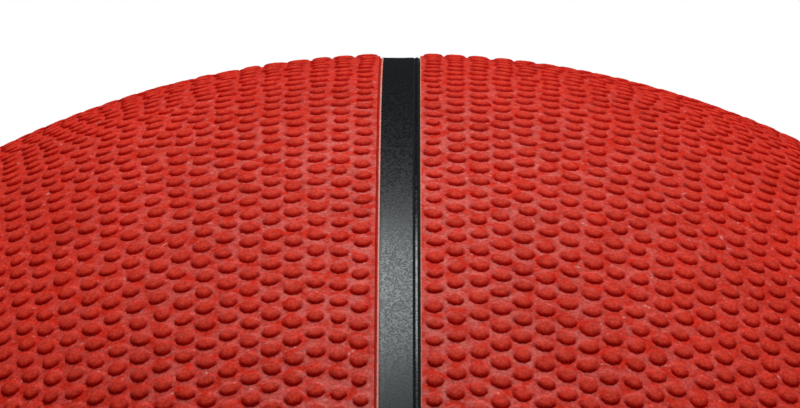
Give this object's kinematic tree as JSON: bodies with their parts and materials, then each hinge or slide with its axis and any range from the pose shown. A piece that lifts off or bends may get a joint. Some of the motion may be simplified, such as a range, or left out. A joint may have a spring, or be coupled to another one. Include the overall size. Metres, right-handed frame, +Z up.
{
  "type": "basketball",
  "caption": "Moulded rubber basketball with a red pebbled cover, flat black channels, wound carcass, bladder and a needle valve with a removable plug.",
  "frame": {"origin": "centre of the ball", "axes": "+Z up through the channel shared by the upper waist panels, +Y away from the picture's camera, X through the middles of the two side ovals"},
  "size_m": [0.242, 0.2418, 0.242],
  "materials": {
    "cover_rubber": "moulded pebbled rubber, satin",
    "channel_rubber": "black satin rubber with a fine sandy grain",
    "carcass_rubber": "dull moulded rubber",
    "nylon_thread": "wound nylon thread",
    "butyl_rubber": "smooth black butyl",
    "patch_fabric": "rubberised fabric",
    "valve_rubber": "smooth black rubber",
    "plug_rubber": "smooth dark grey rubber"
  },
  "bodies": {
    "ball": {"bladder": "butyl_rubber", "thread_winding": "nylon_thread", "carcass": "carcass_rubber", "waist_panel_upper_right": "cover_rubber", "waist_panel_upper_left": "cover_rubber", "waist_panel_lower_right": "cover_rubber", "waist_panel_lower_left": "cover_rubber", "side_panel_upper_right": "cover_rubber", "side_panel_upper_left": "cover_rubber", "side_panel_lower_right": "cover_rubber", "side_panel_lower_left": "cover_rubber", "channel_meridian": "channel_rubber", "channel_oval_right": "channel_rubber", "channel_oval_left": "channel_rubber", "channel_equator_front_right": "channel_rubber", "channel_equator_front_left": "channel_rubber", "channel_equator_back_right": "channel_rubber", "channel_equator_back_left": "channel_rubber", "channel_equator_right": "channel_rubber", "channel_equator_left": "channel_rubber", "valve_patch": "patch_fabric", "valve_housing": "valve_rubber"},
    "valve_plug": {"valve_plug": "plug_rubber"}
  },
  "joints": [
    {"name": "valve_plug_pull", "type": "slide", "parent": "ball", "child": "valve_plug", "axis": [-0.7979, 0.5785, 0.1696], "range_m": [0, 0.03]}
  ]
}
